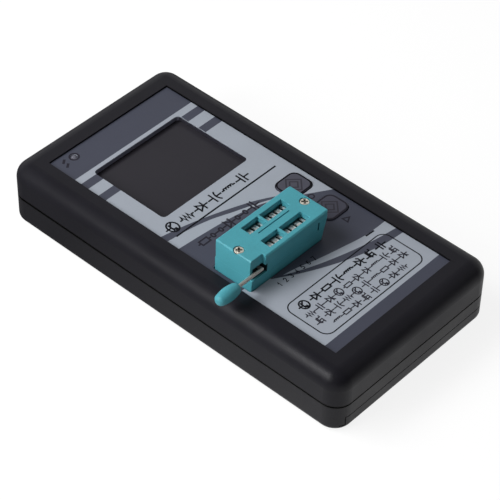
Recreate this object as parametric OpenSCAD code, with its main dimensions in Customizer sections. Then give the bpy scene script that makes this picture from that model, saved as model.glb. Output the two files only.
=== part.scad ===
// Handheld electronic component tester: a black two-part case with a recessed
// front label, a display window, two keys, a status lamp, a zero-force test
// socket with a side lever, and a 9 V battery behind a sliding door.
// Millimetres. Z is up, Y runs towards the display end, X to the right.
// The origin is the centre of the case's underside.

/* [Case] */
// outside width of the case
case_w = 71; // [66:0.5:84]
// outside length of the case
case_l = 138; // [134:0.5:160]
// outside height of the case
case_h = 22; // [22:0.1:26]
// radius of the case's corners, seen from above
corner_r = 6; // [5.8:0.1:8]
// rounding of the top edge
top_round = 5.4; // [3:0.1:5.5]
// rounding of the bottom edge
bottom_round = 2; // [1:0.1:2.2]
// height of the parting line above the table
part_z = 9.8; // [9:0.1:11]
// thickness of the side walls
wall = 2.2; // [2:0.1:2.6]
// thickness of the floor
floor_t = 1.8; // [1.6:0.1:2]
// thickness of the front panel under the label
panel_t = 1.5; // [1.2:0.1:1.8]
// distance of the case screws from the case's sides
screw_from_side = 6.3; // [5.8:0.1:7]

/* [Front label] */
// distance of the label's recess from the case's sides
recess_side = 9; // [7.5:0.1:10.5]
// distance of the label's recess from the case's ends
recess_end = 9.3; // [8:0.1:13]
// depth of the label's face below the rim
recess_d = 0.6; // [0.4:0.1:1]
// thickness of the label
label_t = 0.3; // [0.2:0.1:0.4]
// gap between the label and its recess
label_gap = 0.1; // [0.05:0.05:0.2]

/* [Display] */
// width of the display window
window_w = 38.3; // [34:0.1:40]
// height of the display window
window_h = 30.9; // [27:0.1:32]
// window's middle, along X
window_x = -0.4; // [-2:0.1:2]
// distance of the window's middle from the display end of the case
window_from_end = 37.5; // [35:0.1:41]
// corner radius of the window
window_r = 1.5; // [0.5:0.1:3]
// width of the display glass
glass_w = 46; // [44:0.5:47]
// height of the display glass
glass_h = 34; // [33:0.5:35]

/* [Keys and lamp] */
// width of a key
key_w = 10.1; // [9:0.1:11]
// length of a key along Y
key_l = 9; // [8:0.1:10]
// corner radius of a key
key_r = 2.6; // [1.5:0.1:3.5]
// how far a key stands above the label
key_proud = 0.35; // [0.3:0.05:0.8]
// distance of the keys' middle from the right side of the recess
key_from_rim = 7.2; // [7:0.1:8.5]
// place of the upper key along Y
ok_y = -2.7; // [-4:0.1:2]
// place of the lower key along Y
test_y = -17.6; // [-20:0.1:-15]
// gap around a key
key_gap = 0.3; // [0.3:0.05:0.5]
// distance of the status lamp from the left side of the recess
lamp_from_rim = 7.9; // [6.5:0.1:10.5]
// distance of the status lamp from the display end of the case
lamp_from_end = 12.5; // [12:0.1:15]
// radius of the lamp's hole in the label
lamp_hole_r = 1.95; // [1.7:0.05:2.2]
// radius of the lamp's lens
lamp_r = 1.5; // [1.4:0.05:1.6]

/* [Test socket] */
// contact pitch
pitch = 2.54; // [2.54:0.01:2.54]
// contacts in one row
contacts_per_row = 7; // [7:1:7]
// distance between the two contact rows
row_space = 7.94; // [7.62:0.01:8]
// middle of the contacts along X
contacts_x = -6.4; // [-7:0.1:-6]
// middle of the two rows along Y
socket_y = -17.8; // [-18:0.1:-17.6]
// width of the socket along Y
socket_w = 15.8; // [15.6:0.1:16]
// left end of the socket at its top
socket_left = -24; // [-24.2:0.1:-23.8]
// right end of the socket at its top
socket_right = 9.1; // [8.9:0.1:9.3]
// height of the socket above the label
socket_rise = 11.2; // [11:0.1:12]
// height of the seam between socket base and cover, above the label
seam_rise = 4.1; // [4:0.1:4.4]
// outward slope of the left end, per millimetre downwards
left_slope = 0.05; // [0:0.01:0.06]
// inward slope of the front, per millimetre downwards
front_slope = 0.06; // [0:0.01:0.07]
// inward slope of the right end, per millimetre downwards
end_slope = 0.17; // [0.1:0.01:0.18]

/* [Lever] */
// radius of the lever's wire
wire_r = 0.6; // [0.5:0.05:0.7]
// distance of the lever's pivot from the socket's left end
pivot_from_left = 4.1; // [4:0.1:4.2]
// height of the lever's pivot above the label
pivot_rise = 6.1; // [6:0.1:6.4]
// distance from the pivot to the knob's middle
lever_reach = 14.7; // [14:0.1:17]
// length of the knob
knob_l = 9.2; // [8:0.1:9.6]
// largest radius of the knob
knob_r = 2.3; // [2.2:0.1:2.8]
// eccentricity of the lever's cam
cam_throw = 0.5; // [0.4:0.05:0.5]

/* [Battery] */
// length of the battery's can
battery_l = 46.4; // [46:0.1:46.5]
// width of the battery's can
battery_w = 26.2; // [25:0.1:26.5]
// thickness of the battery's can
battery_t = 17; // [16:0.1:17]
// distance of the battery door from the case's sides
door_side = 4.3; // [4:0.1:5.5]
// length of the battery door
door_l = 33; // [32:0.1:34]
// height of the door's end wall
door_end_h = 5.1; // [4:0.1:6]
// gap around the battery door
door_gap = 0.3; // [0.3:0.05:0.4]

/* [Hidden] */
$fn = 48;

// clearances
overcut = 1;            // how far a cut runs past a face
sink = 0.4;             // how far a joined shape runs into its neighbour
loose = 0.05;           // radial running clearance of the lever's wire
seam_groove_h = 0.5;    // shadow groove along the parting line
seam_groove_d = 0.6;

// heights
label_z = case_h - recess_d;            // face of the label
recess_z = label_z - label_t;           // floor of the recess
ceiling_z = recess_z - panel_t;         // inside of the front panel
board_depth = 3.7;                      // room between the board and the front panel
board_t = 1.6;
board_top = ceiling_z - board_depth;
board_z = board_top - board_t;

// places on the front
recess_w = case_w - 2 * recess_side;
recess_l = case_l - 2 * recess_end;
window_y = case_l / 2 - window_from_end;
key_x = recess_w / 2 - key_from_rim;
lamp_x = -recess_w / 2 + lamp_from_rim;
lamp_y = case_l / 2 - lamp_from_end;

// case screws: two at the display end, two behind the battery bay
boss_r = 3.2;
boss_flare = 0.4;                       // extra radius of the lower bosses
case_screw_x = case_w / 2 - screw_from_side;
door_w = case_w - 2 * door_side;
door_in = -case_l / 2 + door_l;         // inner end of the battery door
screw_from_end = 6.8;
screw_from_door = 5;
upper_screw_y = case_l / 2 - screw_from_end;
lower_screw_y = door_in + screw_from_door;
case_screw_places = [for (x = [-1, 1], y = [upper_screw_y, lower_screw_y]) [x * case_screw_x, y]];
screw_seat_z = 2.6;
case_screw_r = 1.25;
case_screw_top = ceiling_z - 4;
case_head_r = 2.2;
case_head_h = 1.5;

// board screws, driven up into posts under the front panel
board_screw_x = case_screw_x - 0.9;
upper_post_gap = 11.7;                  // distance of a post from the case screw beside it
lower_post_gap = 13;
upper_post_y = upper_screw_y - upper_post_gap;
lower_post_y = lower_screw_y + lower_post_gap;
board_screw_places = [for (x = [-1, 1], y = [upper_post_y, lower_post_y]) [x * board_screw_x, y]];
post_r = 2.2;
board_screw_r = 0.9;
board_screw_l = 4.4;
board_head_r = 1.8;
board_head_h = 1.2;

// battery bay
battery_room = 2.2;                     // free room between the battery and the end wall
battery_z = floor_t + 0.4;
battery_x = -26.2;
battery_y = -case_l / 2 + wall + battery_room + battery_w / 2;
bay_wall_t = 1.2;
bay_wall_y = door_in + 0.6;
bay_wall_top = board_z - 2;
bay_wall_in = 9.5;                      // inset of the wall's upper part from the case's sides

// test socket heights and sections
socket_top = label_z + socket_rise;
seam_z = label_z + seam_rise;
base_z = board_top + 4;
pivot_z = label_z + pivot_rise;
body_y = socket_y + 0.2;                // the housing's middle, a little behind the rows
socket_front = body_y - socket_w / 2;
socket_back = body_y + socket_w / 2;
lever_y = socket_front + 0.75;
notch_x = socket_left + 5.05;           // the lever's notch lies left of this
notch_y = lever_y + wire_r + 0.25;
cover_wall = 1.3;
cover_roof = 2;
cavity_top = socket_top - cover_roof;
back_wall_y = socket_back - cover_wall;
front_wall_y = socket_front + cover_wall;
cover_chamfer = 0.4;
trough_d = 1.2;                         // depth of the cam's trough in the base
cell_room = 0.3;                        // free room beside a contact
cell_side = 0.2;
socket_screw_r = 0.7;
socket_screw_l = 2.2;                   // screw's reach below the seam
socket_head_r = 1.55;
socket_head_h = 0.6;
head_pocket_d = 0.7;
pivot_x = socket_left + pivot_from_left;
mech_x = socket_left + 2.5;             // left wall of the cam's chamber
front_bearing_y = socket_y - 3.6;       // inner face of the front bearing wall
bearing_t = 0.9;
contact_chamber_x = socket_left + 8.4;
right_wall_x = socket_right - 4.5;
screw_left_x = socket_left + 1.6;
screw_right_x = socket_right - 2.3;
rows = [socket_y + row_space / 2, socket_y - row_space / 2];
row_w = 3.8;                            // opening of a contact row, along Y
contact_w = 3.4;
contact_top = cavity_top - 0.2;
slot_floor = base_z + 1.3;
rib_x = contacts_x - pitch / 2;
rib_t = 0.8;
cam_r = 1.3;
cam_l = 8.6;
cam_back = socket_y + 5.6;              // end of the cam towards the display
pusher_travel = 1.2;

function contact_x(i) = contacts_x + (i - (contacts_per_row - 1) / 2) * pitch;

// ends and front of the socket at a height
function left_at(z) = socket_left - left_slope * (socket_top - z);
function right_at(z) = socket_right - end_slope * (socket_top - z);
function front_at(z) = socket_front + front_slope * (socket_top - z);

// ---------- shared shapes ----------

// half section of a block's edge, x outwards from the corner centre
module edge_profile(r, h, top_f, low_f) {
    translate([0, low_f]) square([r, h - top_f - low_f]);
    if (low_f > 0) {
        square([r - low_f, h - top_f]);
        intersection() {
            translate([r - low_f, low_f]) circle(low_f);
            square([r, h]);
        }
    }
    if (top_f > 0) {
        translate([0, low_f]) square([r - top_f, h - low_f]);
        intersection() {
            translate([r - top_f, h - top_f]) circle(top_f);
            square([r, h]);
        }
    }
}

// sweeps a half section round a rounded rectangle; the middle stays open
module swept_round(w, l, r) {
    sx = w - 2 * r;
    sy = l - 2 * r;
    for (side = [0, 1]) mirror([side, 0, 0])
        translate([sx / 2, sy / 2, 0]) rotate([90, 0, 0]) linear_extrude(sy) children();
    for (side = [0, 1]) mirror([0, side, 0])
        translate([-sx / 2, sy / 2, 0]) rotate([90, 0, 90]) linear_extrude(sx) children();
    for (mx = [0, 1], my = [0, 1]) mirror([mx, 0, 0]) mirror([0, my, 0])
        translate([sx / 2, sy / 2, 0]) rotate_extrude(angle = 90) children();
}

// the case's outline swept with a half section that starts at its corner centres
module case_sweep() {
    swept_round(case_w, case_l, corner_r) children();
}

// plate that fills the middle of the sweep
module case_middle(z0, z1) {
    sx = case_w - 2 * corner_r;
    sy = case_l - 2 * corner_r;
    translate([-sx / 2, -sy / 2, z0]) cube([sx, sy, z1 - z0]);
}

module rounded_rect(w, l, r) {
    square([w - 2 * r, l], center = true);
    square([w, l - 2 * r], center = true);
    for (x = [-1, 1], y = [-1, 1]) translate([x * (w / 2 - r), y * (l / 2 - r)]) circle(r);
}

// box given by two opposite corners
module box(low, high) {
    translate(low) cube(high - low);
}

module at_each(places) {
    for (p = places) translate([p[0], p[1], 0]) children();
}

// cross-head recess, cut down from z = 0
module cross_recess(width, slot, depth) {
    for (turn = [0, 90]) rotate(turn)
        translate([-width / 2, -slot / 2, -depth]) cube([width, slot, depth + overcut]);
}

// ---------- openings in the front panel and the label ----------

module window_opening() {
    translate([window_x, window_y]) rounded_rect(window_w, window_h, window_r);
}

module key_openings() {
    for (y = [ok_y, test_y]) translate([key_x, y])
        rounded_rect(key_w + 2 * key_gap, key_l + 2 * key_gap, key_r + key_gap);
}

module socket_opening() {
    margin = 0.3;
    left = left_at(base_z) - margin;
    right = right_at(label_z) + margin;
    front = front_at(label_z) - margin;
    translate([left, front]) square([right - left, socket_back + margin - front]);
}

module front_openings() {
    window_opening();
    key_openings();
    socket_opening();
    translate([lamp_x, lamp_y]) circle(lamp_hole_r);
}

// ---------- case ----------

tongue_out = 1.2;       // outer inset of the tongue between the two shells
tongue_h = 1.2;

// door's side flanges and the groove they run in
flange_w = 1.5;
flange_z = 1.1;
rail_t = 1.2;

// half section of the lower shell, with the tongue that locates the upper one
module bottom_section() {
    difference() {
        edge_profile(corner_r, part_z, 0, bottom_round);
        translate([0, floor_t]) square([corner_r - wall, part_z]);
    }
    translate([corner_r - wall, part_z - 0.1]) square([wall - tongue_out, tongue_h + 0.1]);
}

// half section of the upper shell, with the tongue's rebate and the shadow groove
module top_section() {
    rebate_w = wall - tongue_out + 0.1;
    difference() {
        translate([0, part_z]) edge_profile(corner_r, case_h - part_z, top_round, 0);
        translate([0, part_z - overcut])
            edge_profile(corner_r - wall, ceiling_z - part_z + overcut, top_round - wall, 0);
        translate([corner_r - wall - 0.1, part_z - overcut]) square([rebate_w + 0.1, overcut + tongue_h + 0.2]);
        translate([corner_r - seam_groove_d, part_z - overcut]) square([overcut, overcut + seam_groove_h]);
    }
}

module bottom_shell() color("#2b2c2e") {
    opening_w = door_w / 2 + door_gap;
    groove_w = opening_w + flange_w;
    difference() {
        union() {
            case_sweep() bottom_section();
            case_middle(0, floor_t);
            at_each(case_screw_places) translate([0, 0, floor_t - sink])
                cylinder(r = boss_r + boss_flare, h = part_z - floor_t + sink);
            // wall between the battery bay and the board
            box([-case_w / 2 + wall - sink, bay_wall_y, floor_t - sink],
                [case_w / 2 - wall + sink, bay_wall_y + bay_wall_t, part_z]);
            box([-case_w / 2 + bay_wall_in, bay_wall_y, part_z - sink],
                [case_w / 2 - bay_wall_in, bay_wall_y + bay_wall_t, bay_wall_top]);
            // rails above the door's flanges
            for (side = [0, 1]) mirror([side, 0, 0])
                box([opening_w, -case_l / 2 + wall - sink, floor_t + door_gap],
                    [case_w / 2 - wall + sink, bay_wall_y + sink, floor_t + door_gap + rail_t]);
        }
        // doorway in the floor and the end wall
        box([-opening_w, -case_l / 2 - overcut, -overcut], [opening_w, door_in + door_gap, floor_t + overcut]);
        box([-opening_w, -case_l / 2 - overcut, -overcut],
            [opening_w, -case_l / 2 + wall + sink, door_end_h + door_gap / 2]);
        // groove for the door's flanges
        box([-groove_w, -case_l / 2 - overcut, flange_z - door_gap],
            [groove_w, door_in + door_gap, floor_t + door_gap]);
        // screw holes with sunk heads
        at_each(case_screw_places) {
            translate([0, 0, -overcut]) cylinder(r = case_head_r + 0.3, h = screw_seat_z + overcut);
            translate([0, 0, -overcut]) cylinder(r = case_screw_r + 0.2, h = part_z + 2 * overcut);
        }
    }
}

// ribs that hold the battery and its connector endways
rib_h = 8;
rib_w = 1.4;
rib_l = 18;
rib_room = 0.5;         // free room between a rib and the battery
snap_room = 2.8;        // free room between a rib and the connector

module top_shell() color("#2b2c2e") {
    difference() {
        union() {
            case_sweep() top_section();
            case_middle(ceiling_z, case_h);
            at_each(case_screw_places) translate([0, 0, part_z]) cylinder(r = boss_r, h = ceiling_z - part_z + sink);
            at_each(board_screw_places) translate([0, 0, board_top])
                cylinder(r = post_r, h = ceiling_z - board_top + sink);
            for (x = [battery_x - rib_room - rib_w, snap_end + snap_room])
                box([x, battery_y - rib_l / 2, ceiling_z - rib_h], [x + rib_w, battery_y + rib_l / 2, ceiling_z + sink]);
        }
        // label recess and everything that opens through the panel
        box([-recess_w / 2, -recess_l / 2, recess_z], [recess_w / 2, recess_l / 2, case_h + overcut]);
        translate([0, 0, ceiling_z - overcut]) linear_extrude(panel_t + 2 * overcut) front_openings();
        // pilot holes
        at_each(case_screw_places) translate([0, 0, part_z - overcut])
            cylinder(r = case_screw_r + loose, h = case_screw_top + 0.6 - part_z + overcut);
        at_each(board_screw_places) translate([0, 0, board_top - overcut])
            cylinder(r = board_screw_r + loose, h = board_screw_l - 1 + overcut);
    }
}

// thumb grip under the door
ridge_count = 6;
ridge_pitch = 1.8;
ridge_w = 0.8;
ridge_l = 22;
ridge_d = 0.5;
ridge_from_end = 8;

module battery_door() color("#2b2c2e") {
    difference() {
        intersection() {
            union() {
                case_sweep() edge_profile(corner_r, part_z, 0, bottom_round);
                case_middle(0, part_z);
            }
            union() {
                box([-door_w / 2, -case_l / 2, 0], [door_w / 2, door_in, floor_t]);
                box([-door_w / 2 - flange_w, -case_l / 2, flange_z], [door_w / 2 + flange_w, door_in, floor_t]);
                box([-door_w / 2, -case_l / 2, 0], [door_w / 2, -case_l / 2 + wall, door_end_h - door_gap / 2]);
            }
        }
        for (i = [0 : ridge_count - 1]) translate([0, -case_l / 2 + ridge_from_end + i * ridge_pitch, 0])
            box([-ridge_l / 2, 0, -overcut], [ridge_l / 2, ridge_w, ridge_d]);
    }
}

module front_label() color("#a3a8b4") {
    translate([0, 0, recess_z]) linear_extrude(label_t) difference() {
        square([recess_w - 2 * label_gap, recess_l - 2 * label_gap], center = true);
        front_openings();
    }
}

module case_screws() color("#3c3d40") {
    at_each(case_screw_places) difference() {
        union() {
            translate([0, 0, screw_seat_z - case_head_h]) cylinder(r = case_head_r, h = case_head_h);
            translate([0, 0, screw_seat_z - sink]) cylinder(r = case_screw_r, h = case_screw_top - screw_seat_z + sink);
        }
        translate([0, 0, screw_seat_z - case_head_h]) mirror([0, 0, 1]) cross_recess(2.4, 0.7, 0.9);
    }
}

// ---------- keys and their switches ----------

switch_w = 5.2;
switch_h = 1.5;
plunger_top = board_top + 2;
plunger_low = board_top + 0.9;
plunger_r = 1.2;
stem_r = 1.1;
flange_top = ceiling_z - 0.4;
flange_h = 1;
flange_edge = 1;        // how far a key's flange reaches past the key

// key with a flange that keeps it under the panel and a short push stem
module key_at(y) {
    translate([key_x, y, 0]) {
        translate([0, 0, flange_top - sink]) linear_extrude(label_z + key_proud - flange_top + sink)
            rounded_rect(key_w, key_l, key_r);
        translate([0, 0, flange_top - flange_h]) linear_extrude(flange_h)
            rounded_rect(key_w + 2 * flange_edge, key_l + 2 * flange_edge, key_r);
        translate([0, 0, plunger_top]) cylinder(r = stem_r, h = flange_top - flange_h - plunger_top + sink);
    }
}

module plunger_at(y) {
    translate([key_x, y, plunger_low]) cylinder(r = plunger_r, h = plunger_top - plunger_low);
}

module ok_key() color("#5b5b66") key_at(ok_y);
module test_key() color("#5b5b66") key_at(test_y);
module ok_plunger() color("#1d1d1f") plunger_at(ok_y);
module test_plunger() color("#1d1d1f") plunger_at(test_y);

module key_switches() color("#b8babd") {
    for (y = [ok_y, test_y]) translate([key_x, y, board_top]) difference() {
        translate([-switch_w / 2, -switch_w / 2, 0]) cube([switch_w, switch_w, switch_h]);
        translate([0, 0, switch_h / 5]) cylinder(r = plunger_r + key_gap, h = switch_h);
    }
}

// ---------- display and lamp ----------

tray_floor = board_top + 1.5;
tray_rim = 0.7;
tray_fit = 0.05;        // gap between the glass and its tray
glass_top = ceiling_z - 0.2;
ribbon_w = 16;
ribbon_t = 0.2;
ribbon_drop = 1.6;      // how far in front of the glass the ribbon steps down
ribbon_foot = 3.5;

module display_glass() color("#222226") {
    translate([window_x, window_y, 0])
        box([-glass_w / 2, -glass_h / 2, tray_floor], [glass_w / 2, glass_h / 2, glass_top]);
}

module display_frame() color("#e4e4e0") {
    translate([window_x, window_y, 0]) difference() {
        box([-glass_w / 2 - tray_rim, -glass_h / 2 - tray_rim, board_top],
            [glass_w / 2 + tray_rim, glass_h / 2 + tray_rim, glass_top - 0.5]);
        box([-glass_w / 2 - tray_fit, -glass_h / 2 - tray_fit, tray_floor],
            [glass_w / 2 + tray_fit, glass_h / 2 + tray_fit, glass_top]);
        // mouth for the ribbon
        box([-ribbon_w / 2 - tray_rim, -glass_h / 2 - tray_rim - overcut, tray_floor],
            [ribbon_w / 2 + tray_rim, -glass_h / 2, glass_top]);
    }
}

// ribbon that steps down from the glass to the board
module display_flex() color("#a8782c") {
    top = tray_floor + 3 * ribbon_t;
    edge = window_y - glass_h / 2;
    drop = edge - ribbon_drop;
    translate([window_x - ribbon_w / 2, 0, 0]) {
        box([0, drop, top - ribbon_t], [ribbon_w, edge, top]);
        box([0, drop, board_top], [ribbon_w, drop + ribbon_t, top]);
        box([0, drop - ribbon_foot, board_top], [ribbon_w, drop + ribbon_t, board_top + ribbon_t]);
    }
}

lamp_collar = 0.4;
lamp_collar_h = 1;
lamp_proud = 0.2;       // how far the lamp's dome stands above the label

module status_lamp() color("#e8ecec") {
    dome_z = label_z + lamp_proud - lamp_r - board_top;
    translate([lamp_x, lamp_y, board_top]) {
        cylinder(r = lamp_r + lamp_collar, h = lamp_collar_h);
        cylinder(r = lamp_r, h = dome_z);
        translate([0, 0, dome_z]) sphere(lamp_r);
    }
}

// ---------- board ----------

board_side = 1.5;       // free room between the board and the side walls
board_w = case_w - 2 * wall - 2 * board_side;
board_low = door_in + 3.2;
board_high = case_l / 2 - wall - 5.4;
pin_w = 0.5;
pin_hole_r = 0.5;
pin_end = 0.9;          // how far the pins reach through the board

module main_board() color("#1f4f38") {
    difference() {
        box([-board_w / 2, board_low, board_z], [board_w / 2, board_high, board_top]);
        at_each(case_screw_places) translate([0, 0, board_z - overcut])
            cylinder(r = boss_r + 0.7, h = board_t + 2 * overcut);
        at_each(board_screw_places) translate([0, 0, board_z - overcut])
            cylinder(r = board_screw_r + 0.15, h = board_t + 2 * overcut);
        for (y = rows, i = [0 : contacts_per_row - 1]) translate([contact_x(i), y, board_z - overcut])
            cylinder(r = pin_hole_r, h = board_t + 2 * overcut);
    }
}

module board_screws() color("#b9bcc0") {
    at_each(board_screw_places) difference() {
        union() {
            translate([0, 0, board_z - board_head_h]) cylinder(r = board_head_r, h = board_head_h);
            translate([0, 0, board_z - sink]) cylinder(r = board_screw_r, h = board_screw_l + sink);
        }
        translate([0, 0, board_z - board_head_h]) mirror([0, 0, 1]) cross_recess(2, 0.5, 0.6);
    }
}

// parts on the board's underside: microcontroller
chip_y = window_y - 7.5;
chip_w = 7;
chip_h = 1.2;
chip_stand = 0.1;
leg_count = 8;
leg_pitch = 0.8;
leg_w = 0.4;
leg_l = 0.9;
// parts beside it
part_spread = 14.5;     // sideways distance of the crystal and the capacitors
can_l = 10.2;           // crystal's can
can_w = 4;
can_h = 3.5;
cap_r = 3.15;           // tall capacitors
cap_h = 5.4;
cap_pitch = 12;
cap_y = chip_y - 9;
small_l = 2;            // small surface-mounted parts
small_w = 1.25;
small_h = 0.6;
small_pitch = 4.4;
small_each_side = 5;
small_rows = [2, -5];
// power parts near the battery
power_y = board_low + 8.2;
regulator_l = 6.5;
regulator_w = 3.5;
regulator_h = 1.6;
coil_w = 6;
coil_h = 3;
coil_x = 10;

module microcontroller() color("#1b1b1d") {
    box([-chip_w / 2, chip_y - chip_w / 2, board_z - chip_h - chip_stand],
        [chip_w / 2, chip_y + chip_w / 2, board_z - chip_stand]);
}

module microcontroller_legs() color("#c9ccd0") {
    for (side = [0 : 3], i = [0 : leg_count - 1])
        translate([0, chip_y, 0]) rotate(90 * side)
            translate([chip_w / 2, (i - (leg_count - 1) / 2) * leg_pitch - leg_w / 2, board_z - chip_h / 2])
                cube([leg_l, leg_w, chip_h / 2]);
}

module crystal() color("#c4c7ca") {
    translate([part_spread, chip_y, board_z - can_h]) linear_extrude(can_h)
        rounded_rect(can_l, can_w, can_w / 2 - 0.01);
}

module tall_capacitors() color("#2e3b66") {
    for (y = [cap_y, cap_y + cap_pitch]) translate([-part_spread, y, board_z - cap_h])
        cylinder(r = cap_r, h = cap_h);
}

module chip_parts() color("#8a6c4c") {
    for (i = [-small_each_side : small_each_side], y = small_rows)
        translate([i * small_pitch, y, board_z - small_h]) cube([small_l, small_w, small_h]);
}

module voltage_regulator() color("#1b1b1d") {
    translate([-regulator_l / 2, power_y - regulator_w / 2, board_z - regulator_h])
        cube([regulator_l, regulator_w, regulator_h]);
}

module boost_coil() color("#3a3a3c") {
    translate([coil_x, power_y, board_z - coil_h]) linear_extrude(coil_h) rounded_rect(coil_w, coil_w, coil_w / 6);
}

// ---------- test socket ----------

// the socket's outline between two heights, with chamfered upper edges
module socket_block(z0, z1, chamfer) {
    corner = 1;
    intersection() {
        translate([0, socket_back, 0]) rotate([90, 0, 0]) linear_extrude(socket_w) polygon([
            [left_at(z0), z0], [right_at(z0), z0], [right_at(z1), z1 - chamfer], [right_at(z1) - chamfer, z1],
            [left_at(z1) + chamfer, z1], [left_at(z1), z1 - chamfer]]);
        translate([left_at(z0) - overcut, 0, 0]) rotate([90, 0, 90])
            linear_extrude(socket_right - left_at(z0) + 2 * overcut) polygon([
                [front_at(z0), z0], [socket_back, z0], [socket_back, z1 - chamfer], [socket_back - chamfer, z1],
                [front_at(z1) + chamfer, z1], [front_at(z1), z1 - chamfer]]);
        translate([(left_at(z0) + socket_right) / 2, body_y, z0 - overcut])
            linear_extrude(z1 - z0 + 2 * overcut)
                rounded_rect(socket_right - left_at(z0), socket_w, corner);
    }
}

module socket_base() color("#3f9aa3") {
    difference() {
        socket_block(base_z, seam_z, 0.01);
        for (y = rows, i = [0 : contacts_per_row - 1]) translate([contact_x(i), y, 0]) {
            box([-fork_half - cell_room, -contact_w / 2 - cell_side, slot_floor],
                [fork_half + cell_room, contact_w / 2 + cell_side, seam_z + overcut]);
            box([-pin_slot, -pin_slot, base_z - overcut], [pin_slot, pin_slot, slot_floor + overcut]);
        }
        for (x = [screw_left_x, screw_right_x]) translate([x, socket_y, seam_z - socket_screw_l - 0.2])
            cylinder(r = socket_screw_r + loose, h = socket_screw_l + 0.2 + overcut);
        // the cam turns in a shallow trough
        box([mech_x, front_bearing_y, seam_z - trough_d], [contact_chamber_x, back_wall_y, seam_z + overcut]);
    }
}

latch_w = 0.8;
latch_h = 3.4;
latch_d = 0.7;
latch_x = right_wall_x - 0.1;

module socket_cover() color("#4fb3bb") {
    first = contact_x(0) - pitch / 2;
    last = contact_x(contacts_per_row - 1) + pitch / 2;
    difference() {
        socket_block(seam_z, socket_top, cover_chamfer);
        // chambers for the cam and for the contacts
        box([mech_x, front_bearing_y, seam_z - overcut], [contact_chamber_x + 0.1, back_wall_y, cavity_top]);
        box([contact_chamber_x, front_wall_y, seam_z - overcut], [right_wall_x, back_wall_y, cavity_top]);
        // two windows over each contact row
        for (y = rows) {
            box([first, y - row_w / 2, cavity_top - overcut], [rib_x - rib_t / 2, y + row_w / 2, socket_top + overcut]);
            box([rib_x + rib_t / 2, y - row_w / 2, cavity_top - overcut], [last, y + row_w / 2, socket_top + overcut]);
        }
        // fine groove between the rows
        box([first + 2, socket_y + 0.4, socket_top - 0.5], [last - 2, socket_y + 0.8, socket_top + overcut]);
        // notch beside the folded lever, and the deep slot behind it
        box([left_at(base_z) - overcut, socket_front - overcut, seam_z - overcut],
            [notch_x, notch_y, socket_top + overcut]);
        box([socket_left + 1, socket_front - overcut, seam_z - overcut],
            [pivot_x + 1.8, front_bearing_y - bearing_t, pivot_z + 1.2]);
        // upright slot in the front, near the right end
        box([latch_x, socket_front - overcut, seam_z + 0.9],
            [latch_x + latch_w, socket_front + latch_d, seam_z + 0.9 + latch_h]);
        // bearings of the lever's wire
        translate([pivot_x, back_wall_y + 0.7, pivot_z]) rotate([90, 0, 0])
            cylinder(r = wire_r + loose, h = socket_w);
        // sunk screws
        for (x = [screw_left_x, screw_right_x]) translate([x, socket_y, 0]) {
            translate([0, 0, socket_top - head_pocket_d]) cylinder(r = socket_head_r + 0.15, h = head_pocket_d + overcut);
            translate([0, 0, seam_z - overcut]) cylinder(r = socket_screw_r + loose, h = socket_rise);
        }
    }
}

module socket_pusher() color("#2f7f88") {
    tongue_half = 1.9;
    low = pivot_z - 1.2;
    high = pivot_z + 1.2;
    left = pivot_x + cam_r + 0.35;
    right = right_wall_x - 0.3 - pusher_travel;
    // cross bar that the cam pushes, and the tongue between the contact rows
    box([left, front_bearing_y + 0.4, low], [contact_chamber_x - 0.8, cam_back + 0.2, high]);
    box([left, socket_y - tongue_half, low], [right, socket_y + tongue_half, high]);
}

// one spring contact: a fork with arched, turned-out jaws, a foot and a solder pin
foot_t = 0.6;
fork_half = 0.75;       // half width of the fork
leaf_t = 0.3;
jaw_out = 1.17;         // how far a jaw reaches sideways from the fork's middle
jaw_t = 0.35;
leaf_drop = 0.33;       // the leaves end under the jaws
arch_r = 5;             // curve of the jaws, seen from the socket's end

module contact() {
    leaf_x = fork_half - leaf_t;
    half = contact_w / 2;
    arch_z = contact_top - arch_r;
    box([-fork_half, -half, slot_floor], [fork_half, half, slot_floor + foot_t]);
    for (side = [0, 1]) mirror([side, 0, 0]) {
        box([leaf_x, -half, slot_floor], [fork_half, half, contact_top - leaf_drop]);
        translate([leaf_x, 0, arch_z]) rotate([0, 90, 0]) linear_extrude(jaw_out - leaf_x) intersection() {
            difference() {
                circle(arch_r);
                circle(arch_r - jaw_t);
            }
            translate([-arch_r - overcut, -half]) square([arch_r, contact_w]);
        }
    }
    box([-pin_w / 2, -pin_w / 2, board_z - pin_end], [pin_w / 2, pin_w / 2, slot_floor + foot_t / 2]);
}

module contact_row(y) {
    for (i = [0 : contacts_per_row - 1]) translate([contact_x(i), y, 0]) contact();
}

module back_contacts() color("#d5d8da") contact_row(rows[0]);
module front_contacts() color("#d5d8da") contact_row(rows[1]);

riser_w = 2.5;
pin_slot = 0.4;         // half width of the slot around a pin

// two pin strips that lift the socket off the board
module pin_risers() color("#18181a") {
    half = contacts_per_row * pitch / 2;
    for (y = rows) difference() {
        box([contacts_x - half, y - riser_w / 2, board_top], [contacts_x + half, y + riser_w / 2, base_z]);
        for (i = [0 : contacts_per_row - 1]) translate([contact_x(i), y, 0])
            box([-pin_slot, -pin_slot, board_top - overcut], [pin_slot, pin_slot, base_z + overcut]);
    }
}

module socket_screws() color("#cfc8b8") {
    head_low = socket_top - head_pocket_d;
    bevel = 0.2;
    for (x = [screw_left_x, screw_right_x]) translate([x, socket_y, 0]) difference() {
        union() {
            translate([0, 0, head_low]) cylinder(r = socket_head_r, h = socket_head_h - bevel);
            translate([0, 0, head_low + socket_head_h - bevel])
                cylinder(r1 = socket_head_r, r2 = socket_head_r - 1.5 * bevel, h = bevel);
            translate([0, 0, seam_z - socket_screw_l])
                cylinder(r = socket_screw_r, h = head_low + bevel - seam_z + socket_screw_l);
        }
        translate([0, 0, head_low + socket_head_h]) rotate(45) cross_recess(2.1, 0.7, 0.5);
    }
}

// ---------- lever ----------

axle_end = back_wall_y + 0.5;

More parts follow.
